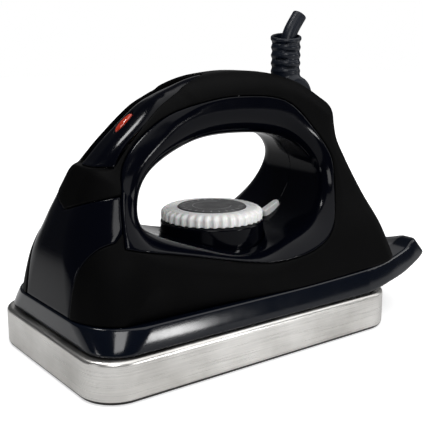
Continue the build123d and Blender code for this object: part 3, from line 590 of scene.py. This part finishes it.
def skirt_half(grid):
    """Half the skirt's width, which tapers up and towards the heel rest's tip."""
    bottom = along(LOWER_EDGE, grid.x)
    rise = np.clip((grid.z - bottom) / (along(UPPER_EDGE, grid.x) - bottom), 0, 1.1)
    return SKIRT_HIGH[1] - SIDE_TAPER * rise ** 1.5 - along(HEEL_NARROWS, grid.x)


def skirt_rise(grid, highest):
    """Nought at the skirt's foot and one at its top, straight up to the highest share."""
    return np.clip((grid.z - SKIRT_BOTTOM) / (SKIRT_LINE - SKIRT_BOTTOM), 0, highest)


def skirt_inside(grid):
    """The skirt's closed inner outline, without the heel rest: negative inside."""
    rise = skirt_rise(grid, 1.4)
    front = between(CAVITY_FRONT, rise)
    rear = between(CAVITY_REAR, rise)
    ends = np.abs(grid.x - (front + rear) / 2) - (front - rear) / 2
    return round_max(ends, np.abs(grid.y) - between(CAVITY_HALF, rise), between(CAVITY_CORNER, rise))


def skirt_solid(grid):
    """The skirt and heel rest without the hollow below."""
    rise = skirt_rise(grid, 1)
    front = grid.x - between(SKIRT_FRONT, rise)
    tip = (TIP_LOW[0] - grid.x) * math.cos(TIP_SLANT) + (grid.z - TIP_LOW[1]) * math.sin(TIP_SLANT)
    ends = np.where(grid.x > 0, front, tip)
    corner = np.where(grid.x > 0, between(SKIRT_CORNER, rise), TIP_CORNER)
    plan = round_max(ends, np.abs(grid.y) - skirt_half(grid), corner)
    solid = round_max(plan, grid.z - skirt_top(grid), SKIRT_TOP_EDGE)
    return round_max(solid, along(LOWER_EDGE, grid.x) - grid.z, SKIRT_BOTTOM_EDGE)


def build_skirt():
    """The skirt and heel rest, hollow below and above a deck that has a window for the thermostat."""
    grid = Grid(SKIRT_LOW, (SKIRT_HIGH[0], SKIRT_HIGH[1], TIP_TOP_Z), SKIRT_GRID)
    deck = np.abs(grid.z - DECK_MIDDLE) - DECK_HALF
    window = np.maximum(np.abs(grid.x - WINDOW_X) - WINDOW_HALF[0], np.abs(grid.y) - WINDOW_HALF[1])
    cavity = np.maximum(skirt_inside(grid), -np.maximum(deck, -window))
    skirt = np.maximum(skirt_solid(grid), -cavity)
    place(piece_from_field("skirt_moulding", grid, skirt), "base_skirt")


# ---- Pointer ----

POINTER_GRID = 0.2
POINTER_CENTRE = (POINTER_LOW + POINTER_HIGH) / 2
POINTER_TILT = math.radians(24)
POINTER_HALF = (5.2, 1.8, 1.7)
POINTER_END = 1.7
POINTER_EDGE = 0.5


def pointer_field(grid):
    """The pointer bar behind the dial, tilted up to the rear."""
    length, height = tilted(grid, POINTER_CENTRE, POINTER_TILT)
    plan = round_max(np.abs(length) - POINTER_HALF[0], np.abs(grid.y) - POINTER_HALF[1], POINTER_END)
    return round_max(plan, np.abs(height) - POINTER_HALF[2], POINTER_EDGE)


def build_pointer():
    grid = Grid(POINTER_LOW, POINTER_HIGH, POINTER_GRID)
    place(piece_from_field("pointer_moulding", grid, pointer_field(grid)), "dial_pointer")


# ---- Housing ----

HOUSING_GRID = 0.5
# Side view: the housing's crest from the nose over the handle to the rear
CREST_FRONT = [(NOSE_X, BASE_Z), (70.1, 45), (65.2, 60), (57.7, 75), (55.0, 79), (52.9, 80.4), (50.8, 82),
               (43.4, 89.4), (29.5, 101.4), (21, 106.0)]
CREST_STEP = [(16.6, 107.9), (13.4, 109.8), (6, 112.2), (-2, 113.6)]
CREST_REAR = [(-15, CROWN_Z), (-30, 113.8), (-44, 111), (-54, 106.6), (-60, 103), (-65.5, 99.4), (-68.0, 95),
              (-68.2, 89), (-68.6, 83), (-71.3, 75), (-76.3, 60), (-81.3, 45), (TAIL_X, BASE_Z)]
CREST = CREST_FRONT + CREST_STEP + CREST_REAR
# The lamp cover's own crest has no step, so the matte shell stands proud of it at its tail
LAMP_CREST = CREST_FRONT + [(13.4, 109.0), (6, 111.6), (-2, 113.3)] + CREST_REAR
BELOW_BASE = 12.0            # the form runs on below the housing's foot, where the skirt cuts it
# Half width by height, and the rounding from the crest to the sides by height, in front and at the rear
HALF_WIDTH = [(BASE_Z, BASE_HALF), (45, 36.6), (60, 28.9), (75, 22.2), (90, 17.5), (100, 16.5),
              (CROWN_Z, 16.3)]
FRONT_ROUNDING = [(BASE_Z, 24), (45, 24), (60, 21), (75, 16.5), (90, 11.5), (100, 11.5), (CROWN_Z, 13)]
REAR_ROUNDING = [(BASE_Z, 8), (45, 9), (60, 9.5), (75, 9), (90, 8.5), (100, 9), (CROWN_Z, 12)]
FRONT_SHARE = [(-50, 0), (-20, 0.35), (15, 0.9), (40, 1)]     # of the front rounding, by place from the rear
# Side view: the hand opening at the centre plane, and the rounding of its edge by direction
OPENING = [(-8, 41.4), (16, 46.5), (36, 54), (41.5, 62), (33, 76), (10, 86.2), (-14, 88.3), (-38, 85.5),
           (-51, 76), (-52, 64), (-43, 51.5), (-27, 45)]
OPENING_CENTRE = (-6, 66)
OPENING_STRETCH = 1.9        # its length over its height
OPENING_ROUNDING = {"above": 12.0, "front": 12.0, "below": 9.0, "behind": 7.5}
# Side view: the seam round the liner, which has one corner, at its lower front
LINER_CORNER = (54, 52.5)
LINER_SEAM = [(23.5, 45.3), (-1.4, 39.4), (-17.5, 37.8), (-36, 40.6), (-48, 48), (-56.5, 64), (-57, 80),
              (-38, 100.5), (-10, 104.7), (15, 101.4), (31.6, 94.4), (46.5, 79.4)]
LINER_SPLIT = 0.01           # from each half to the centre plane
DIAL_GAP = 0.2               # round the pedestal and the pointer, where they pass the liner
PEDESTAL_CUT_TOP = 60.0
# Front view: the left edge of the nose cover below the tongue and beside it, and its peak
NOSE_EDGE = [(19, 10), (19.2, 36), (20.6, 46), (23.6, 52), (27, 54.6)]
STRIP_EDGE = [(27, 54.6), (26, 62), (22.4, 71)]
NOSE_PEAK_Z = 63.5
NOSE_BACK_X = 50.0
NOSE_INSET = 0.25            # below the matte shell round it
FOOT_GAP = 0.12              # between the housing and the skirt
# Plan view: the left edge of the lamp cover, which narrows to its tail, and the creases beside its crown
LAMP_GRID = 0.4
LAMP_EDGE = [(70, 13), (52, 13.5), (42, 12.5), (26, 10.2), (10, 7), (2, 4.2)]
LAMP_TAIL_X = -2.0
LAMP_BOTTOM_Z = 79.5
LAMP_INSET = 0.2             # below the matte shell round it
LAMP_CREASE = [(8, 1.2), (30, 2.7), (50, 4.0)]
LAMP_CREASE_EDGE = 0.4
LAMP_SLOPE = math.radians(20)
LAMP_BOX = ((LAMP_TAIL_X - 1, -15, LAMP_BOTTOM_Z), (58, 15, CROWN_Z))
LENS_GRID = 0.25
LENS_CENTRE = (37.6, 0.0, 97.2)
LENS_TILT = math.radians(36)
LENS_HALF = (5.3, 1.9)
LENS_PROUD = 0.5
LENS_THICK = 3.5
LENS_EDGE = 0.8
LENS_GAP = 0.12
LENS_BOX = ((28, -5, 88), (46, 5, 106))
# The notch for the cord guard: gap round the barrel, half width, and the deeper room that its neck swings in
NOTCH_GAP = 0.5
NOTCH_HALF = 8.3
SWING_DEPTH = 4.5
SWING_HALF = 7.8
SWING_RISE = 2.0


def housing_field(grid, crest_points):
    """The whole closed form of the housing, under one crest, with its hand opening."""
    crest = smooth_curve(crest_points, False)
    below = BASE_Z - BELOW_BASE
    outline = np.vstack([crest, [(TAIL_X - 3, below), (NOSE_X + 0.5, below)]])
    silhouette = signed_distance(outline, grid.x, grid.z)
    half = along(HALF_WIDTH, grid.z)
    slope = np.gradient(half, grid.step, axis=2)
    side = (np.abs(grid.y) - half) / np.sqrt(1 + slope ** 2)
    front_share = along(FRONT_SHARE, grid.x)
    rounding = front_share * along(FRONT_ROUNDING, grid.z) + (1 - front_share) * along(REAR_ROUNDING, grid.z)
    outer = round_max(silhouette, side, rounding)
    opening = -signed_distance(smooth_curve(OPENING, True), grid.x, grid.z)
    return round_max(outer, opening, opening_rounding(grid))


def opening_rounding(grid):
    """The edge rounding of the hand opening, by direction from its centre."""
    dx = grid.x - OPENING_CENTRE[0]
    dz = (grid.z - OPENING_CENTRE[1]) * OPENING_STRETCH
    parts = {"above": np.maximum(dz, 0), "below": np.minimum(dz, 0),
             "front": np.maximum(dx, 0), "behind": np.minimum(dx, 0)}
    reach = np.maximum(dx * dx + dz * dz, 1.0)
    return sum(OPENING_ROUNDING[name] * part ** 2 / reach for name, part in parts.items())


def liner_zone(grid):
    """Side view of the liner: negative inside its seam."""
    curve = smooth_curve([LINER_CORNER] + LINER_SEAM + [LINER_CORNER], False)
    return signed_distance(curve[:-1], grid.x, grid.z)


def nose_zone(grid):
    """Front view of the nose cover: negative inside its seam."""
    left = list(smooth_curve(NOSE_EDGE, False)) + list(smooth_curve(STRIP_EDGE, False))[1:]
    right = [(-y, z) for y, z in reversed(left)]
    outline = np.array(left + [(0, NOSE_PEAK_Z)] + right)
    return np.maximum(signed_distance(outline, grid.y, grid.z), NOSE_BACK_X - grid.x)


def lamp_zone(grid):
    """Plan view of the lamp cover: negative inside its seam."""
    left = list(smooth_curve(LAMP_EDGE + [(LAMP_TAIL_X, 0)], False))
    right = [(x, -y) for x, y in reversed(left[:-1])]
    return np.maximum(signed_distance(np.array(left + right), grid.x, grid.y), LAMP_BOTTOM_Z - grid.z)


def lens_zone(grid):
    """An oval round the lens's axis: negative inside."""
    length, _ = tilted(grid, LENS_CENTRE, LENS_TILT)
    return (np.hypot(length / LENS_HALF[0], grid.y / LENS_HALF[1]) - 1) * LENS_HALF[1]


def guard_notch(grid):
    """The room that the cord guard's barrel and its neck turn in: negative inside."""
    reach = np.hypot(grid.x - BARREL_X, grid.z - BARREL_Z) - BARREL_RADIUS
    seat = np.maximum(reach - NOTCH_GAP, np.abs(grid.y) - NOTCH_HALF)
    swing = np.maximum(reach - SWING_DEPTH, np.abs(grid.y) - SWING_HALF)
    swing = np.maximum(swing, np.maximum(BARREL_X - grid.x, BARREL_Z + SWING_RISE - grid.z))
    return np.minimum(seat, swing)


def wall_of(form, *zones):
    """A hollow moulding: the form within all its zones, with round edges, less what lies under its wall."""
    outer = form
    for zone in zones:
        outer = round_max(outer, zone + SEAM, LIP)
    return np.maximum(outer, -(form + WALL))


def build_housing():
    """The matte shell, the nose cover and the two halves of the liner, all cut from one form."""
    grid = Grid(SHELL_LOW, SHELL_HIGH, HOUSING_GRID)
    form = housing_field(grid, CREST)
    liner = liner_zone(grid)
    nose = nose_zone(grid)
    foot = FOOT_GAP - SEAM + skirt_top(grid) - grid.z
    shell = wall_of(form, -liner, -nose, -lamp_zone(grid), -guard_notch(grid), foot)
    place(piece_from_field("shell_moulding", grid, shell), "outer_shell")
    cover = wall_of(form + NOSE_INSET, nose, -liner, foot)
    place(piece_from_field("nose_moulding", grid, cover), "nose_cover")
    drum = np.hypot(grid.x - DIAL_X, grid.y) - DRUM_RADIUS - DIAL_GAP
    drum = np.maximum(drum, grid.z - PEDESTAL_CUT_TOP)
    ring = wall_of(form, liner, -drum, DIAL_GAP - pointer_field(grid), foot)
    for node, side in (("liner_left", 1), ("liner_right", -1)):
        half = np.maximum(ring, LINER_SPLIT - side * grid.y)
        place(piece_from_field(node + "_moulding", grid, half, ring), node)


def build_lamp():
    """The lamp cover, with a crease on each side of its narrow crown, and the lens that is set in it."""
    grid = Grid(*LAMP_BOX, LAMP_GRID)
    level = housing_field(grid, LAMP_CREST) + LAMP_INSET
    crown = np.abs(grid.y) - along(LAMP_CREASE, grid.x)
    flanks = (level + crown * math.tan(LAMP_SLOPE)) * math.cos(LAMP_SLOPE)
    form = round_max(level, flanks, LAMP_CREASE_EDGE)
    cover = wall_of(form, lamp_zone(grid), -liner_zone(grid), -lens_zone(grid))
    place(piece_from_field("lamp_moulding", grid, cover), "lamp_cover")
    grid = Grid(*LENS_BOX, LENS_GRID)
    proud = housing_field(grid, LAMP_CREST) + LAMP_INSET - LENS_PROUD
    plug = np.maximum(round_max(proud, lens_zone(grid) + LENS_GAP, LENS_EDGE), -(proud + LENS_THICK))
    place(piece_from_field("lamp_lens_moulding", grid, plug), "lamp_lens")


# ---- Dial knob ----

KNOB_BOTTOM = 51.1
KNOB_WALL = 2.6
KNOB_WEB_BOTTOM = KNOB_TOP - 3
SHOULDER = (4.2, 2.3)        # width and depth of the rounded upper edge
HUB_BOTTOM = 45.2
HUB_INNER = 5.6
HUB_OUTER = 6.1
SHAFT_HOLE = 2.9
RECESS_RADIUS = (DISC_HIGH[0] - DISC_LOW[0]) / 2 + 0.12
RECESS_BOTTOM = DISC_LOW[2] + 0.05
FLUTES = 38
FLUTE_DEPTH = 1.15
FLUTE_HALF = 0.36            # half a groove's width, in flute spacings
FLUTE_FADE = (4.0, 2.8)      # in from the rim to where the grooves end, and the run over which they deepen
POINTS_PER_FLUTE = 14


def arc_points(centre, radii, start, end, count):
    """Points on an arc, or on an oval one, between two angles in degrees."""
    turns = np.radians(np.linspace(start, end, count))
    return [(centre[0] + radii[0] * math.cos(t), centre[1] + radii[1] * math.sin(t)) for t in turns]


def knob_profile():
    """The knob's closed half section, as (radius, height): hub, inside of the rim, outside, recess."""
    inner_rim = KNOB_RADIUS - KNOB_WALL
    profile = [(SHAFT_HOLE, KNOB_WEB_BOTTOM), (HUB_INNER, KNOB_WEB_BOTTOM), (HUB_INNER, HUB_BOTTOM + 0.2),
               (5.9, HUB_BOTTOM), (HUB_OUTER, HUB_BOTTOM + 0.2), (HUB_OUTER, KNOB_WEB_BOTTOM),
               (inner_rim, KNOB_WEB_BOTTOM), (inner_rim, KNOB_BOTTOM + 0.2), (inner_rim + 0.3, KNOB_BOTTOM),
               (KNOB_RADIUS - 0.5, KNOB_BOTTOM)]
    profile += arc_points((KNOB_RADIUS - 0.5, KNOB_BOTTOM + 0.4), (0.4, 0.4), -60, 0, 3)
    profile += [(KNOB_RADIUS, height) for height in np.linspace(KNOB_BOTTOM + 0.9, KNOB_TOP - 2.4, 4)]
    shoulder_centre = (KNOB_RADIUS - SHOULDER[0], KNOB_TOP - SHOULDER[1])
    profile += arc_points(shoulder_centre, SHOULDER, 8, 90, 12)
    profile += [(KNOB_RADIUS - 5.4, KNOB_TOP), (RECESS_RADIUS + 0.5, KNOB_TOP)]
    profile += arc_points((RECESS_RADIUS + 0.3, KNOB_TOP - 0.3), (0.3, 0.3), 90, 180, 4)
    return profile + [(RECESS_RADIUS, RECESS_BOTTOM), (SHAFT_HOLE, RECESS_BOTTOM)]


def groove_depth(angle, radius, height):
    """How far the flutes cut in at a point of the knob. They fade out over its shoulder."""
    if height < KNOB_BOTTOM - 1:
        return 0.0
    across = (angle * FLUTES / math.tau) % 1.0 - 0.5
    hollow = max(0.0, 1 - (across / FLUTE_HALF) ** 2)
    fade = min(1.0, max(0.0, (radius - (KNOB_RADIUS - FLUTE_FADE[0])) / FLUTE_FADE[1]))
    return FLUTE_DEPTH * hollow * fade


def build_knob():
    """White fluted cap: the profile turned about the dial's axis, with grooves down its side."""
    profile = knob_profile()
    rows = len(profile)
    count = FLUTES * POINTS_PER_FLUTE
    points = []
    faces = []
    for i in range(count):
        angle = math.tau * i / count
        for j, (radius, height) in enumerate(profile):
            reach = radius - groove_depth(angle, radius, height)
            place_mm = (DIAL_X + reach * math.cos(angle), reach * math.sin(angle), height)
            points.append([MM * value for value in place_mm])
            here = i * rows
            beyond = (i + 1) % count * rows
            following = (j + 1) % rows
            faces.append((here + j, beyond + j, beyond + following, here + following))
    place(add_mesh("knob_moulding", points, faces), "dial_knob")


# ---- Cord guard ----

GUARD_GRID = 0.3
GUARD_X = CORD_HIGH[0] - CORD_RADIUS
GUARD_TOP = GUARD_HIGH[2]
BARREL_HALF = 8.0
BARREL_EDGE = 2.0
PIN_RADIUS = 2.45
PIN_HALF = 11.4
NECK_RADIUS = 6.45
NECK_FILLET = 1.5
RIB_PITCH = 3.55
RIB_SWELL = 0.24
RIBS_BELOW_TOP = (2.2, 17.5)
SLOT_FIRST = 4.5             # below the mouth
SLOT_COUNT = 4
SLOT_HALF = 0.36
SLOT_BRIDGE = 5.2
SLOT_FLOOR = 3.6
SLOT_TURNS = (25.0, 70.0)
MOUTH_SLOPE = 0.22           # the cord pulls the soft mouth back, so its lip is lower in front
MOUTH_LOW_WAY = (0.6, 0.8)
RIM_PROUD = 0.45
RIM_MIDDLE = 0.8             # below the lip
RIM_HALF = 0.75
RIM_EDGE = 0.6
BORE = [(116, 3.42), (118, 3.5), (124, 4.9), (128, 5.7)]      # radius by height, flared to the mouth
ENTRY_RADIUS = 5.5


def guard_slots(grid, ring):
    """Pairs of opposite slots, each pair turned from the one above: negative inside."""
    slots = np.full(1, 99.0)
    for i in range(SLOT_COUNT):
        z = GUARD_TOP - SLOT_FIRST - RIB_PITCH * i
        turn = math.radians(SLOT_TURNS[i % 2])
        depth = np.abs((grid.x - GUARD_X) * math.cos(turn) + grid.y * math.sin(turn))
        slots = np.minimum(slots, np.maximum(np.abs(grid.z - z) - SLOT_HALF, SLOT_BRIDGE - depth))
    return np.maximum(slots, SLOT_FLOOR - ring)


def build_guard():
    """Barrel, neck and slotted guard with an open flared mouth, as one rubber moulding."""
    grid = Grid(GUARD_LOW, GUARD_HIGH, GUARD_GRID)
    reach = np.hypot(grid.x - BARREL_X, grid.z - BARREL_Z)
    barrel = round_max(reach - BARREL_RADIUS + 0.05, np.abs(grid.y) - BARREL_HALF, BARREL_EDGE)
    pins = np.maximum(reach - PIN_RADIUS, np.abs(grid.y) - PIN_HALF)
    ring = np.hypot(grid.x - GUARD_X, grid.y)
    down = GUARD_TOP - grid.z
    wave = np.cos(math.tau * (down - SLOT_FIRST) / RIB_PITCH)
    ribbed = (down > RIBS_BELOW_TOP[0]) & (down < RIBS_BELOW_TOP[1])
    swell = np.where(ribbed, -RIB_SWELL * wave, 0.1)
    forward = (grid.x - GUARD_X) * MOUTH_LOW_WAY[0] + grid.y * MOUTH_LOW_WAY[1]
    lip = down - MOUTH_SLOPE * np.maximum(forward + NECK_RADIUS, 0)
    neck = round_max(ring - NECK_RADIUS - swell, np.maximum(-lip, BARREL_Z - grid.z), 0.5)
    rim = round_max(ring - NECK_RADIUS - RIM_PROUD, np.abs(lip - RIM_MIDDLE) - RIM_HALF, RIM_EDGE)
    guard = round_min(round_min(barrel, neck, NECK_FILLET), rim, RIM_EDGE)
    guard = round_max(np.minimum(guard, pins), -guard_slots(grid, ring), 0.2)
    bore = np.maximum(ring - along(BORE, grid.z), BARREL_Z - grid.z)
    entry = np.maximum(np.hypot(grid.x - BARREL_X, grid.y) - ENTRY_RADIUS, grid.z - BARREL_Z)
    guard = round_max(guard, -np.minimum(bore, entry), 0.35)
    place(piece_from_field("guard_moulding", grid, guard), "cord_guard")


# ---- Stage, lights and camera ----

FLOOR_HALF_M = 2.4
# The camera's distance and target are multiples of the length from the origin to the sole's front
CAMERA_AZIMUTH = math.radians(143.55)
CAMERA_ELEVATION = math.radians(12.25)
CAMERA_DISTANCE = 4.58 * SOLE_FRONT * MM
CAMERA_TARGET = Vector((-0.0952 * SOLE_FRONT, 0.0, 0.7157 * SOLE_FRONT)) * MM
CAMERA_LENS = 66.6


def build_floor():
    """A pale sheet that the iron stands on. To the camera it brightens with distance, into the surround."""
    half = FLOOR_HALF_M
    corners = [(-half, -half, 0), (half, -half, 0), (half, half, 0), (-half, half, 0)]
    floor = add_mesh("floor", corners, [(0, 1, 2, 3)])
    nodes = Nodes("pale_floor")
    nodes.colour(nodes.noise(6), (0.74, 0.74, 0.74), (0.76, 0.76, 0.76))
    nodes.set(Roughness=0.9, Specular_IOR_Level=0.1, Emission_Color=(1, 1, 1, 1))
    reach = nodes.add("ShaderNodeVectorMath", operation="LENGTH")
    nodes.link(nodes.place, reach.inputs[0])
    glow = nodes.spread(reach.outputs["Value"], 0.55, 1.0, start=0.08, end=0.7)
    to_camera = nodes.add("ShaderNodeLightPath").outputs["Is Camera Ray"]
    nodes.link(nodes.maths("MULTIPLY", glow, to_camera), nodes.shader.inputs["Emission Strength"])
    floor.data.materials.append(nodes.material)


def add_light(name, place_mm, target_mm, size, power):
    """A soft box that faces a point."""
    light = bpy.data.lights.new(name, "AREA")
    light.shape = "RECTANGLE"
    light.size, light.size_y = size
    light.energy = power
    holder = bpy.data.objects.new(name, light)
    bpy.context.scene.collection.objects.link(holder)
    start = Vector(place_mm) * MM
    way = Vector(target_mm) * MM - start
    holder.matrix_world = Matrix.Translation(start) @ way.to_track_quat("-Z", "Y").to_matrix().to_4x4()
    holder.visible_camera = False


def build_lights():
    """Soft boxes above and to the sides, and a dim surround that the camera alone sees as white."""
    add_light("key_box", (390, 560, 540), (0, 0, 40), (0.30, 0.30), 2.4)
    add_light("lamp_box", (308, -137, 780), (38, 0, 95), (0.12, 0.12), 2.0)
    add_light("front_box", (700, 60, 120), (0, 0, 30), (0.12, 0.12), 0.25)
    add_light("top_box", (-250, 200, 780), (-10, 0, 60), (1.1, 1.1), 6.3)
    add_light("back_box", (-468, -697, 330), (0, 0, 30), (0.6, 0.4), 0.25)
    add_light("rear_box", (-650, 260, 260), (0, 0, 60), (0.20, 0.20), 0.4)
    add_light("skirt_box", (-317, 642, 95), (30, 44, 22), (0.07, 0.10), 0.85)
    world = bpy.data.worlds.new("studio")
    bpy.context.scene.world = world
    world.use_nodes = True
    tree = world.node_tree
    surround = tree.nodes["Background"]
    surround.inputs["Color"].default_value = (0.9, 0.92, 0.95, 1)
    surround.inputs["Strength"].default_value = 0.07
    seen = tree.nodes.new("ShaderNodeBackground")
    seen.inputs["Color"].default_value = (1, 1, 1, 1)
    seen.inputs["Strength"].default_value = 1.0
    path = tree.nodes.new("ShaderNodeLightPath")
    mix = tree.nodes.new("ShaderNodeMixShader")
    tree.links.new(path.outputs["Is Camera Ray"], mix.inputs["Fac"])
    tree.links.new(surround.outputs["Background"], mix.inputs[1])
    tree.links.new(seen.outputs["Background"], mix.inputs[2])
    tree.links.new(mix.outputs["Shader"], tree.nodes["World Output"].inputs["Surface"])


def build_camera():
    """The camera, which looks from the nose's left, a little above the iron."""
    camera = bpy.data.cameras.new("camera")
    camera.sensor_width = 36.0
    camera.lens = CAMERA_LENS
    camera.clip_start = 0.01
    holder = bpy.data.objects.new("camera", camera)
    bpy.context.scene.collection.objects.link(holder)
    level = math.cos(CAMERA_ELEVATION)
    back = Vector((math.sin(CAMERA_AZIMUTH) * level, -math.cos(CAMERA_AZIMUTH) * level,
                   math.sin(CAMERA_ELEVATION)))
    holder.location = CAMERA_TARGET + back * CAMERA_DISTANCE
    holder.rotation_euler = back.to_track_quat("Z", "Y").to_euler()
    bpy.context.scene.camera = holder


bpy.context.scene.view_settings.view_transform = "Standard"
MATERIALS = {**outer_materials(), **inner_materials()}
dress_cad_nodes()
build_sole()
build_skirt()
build_housing()
build_lamp()
build_pointer()
build_knob()
build_guard()
build_floor()
build_lights()
build_camera()
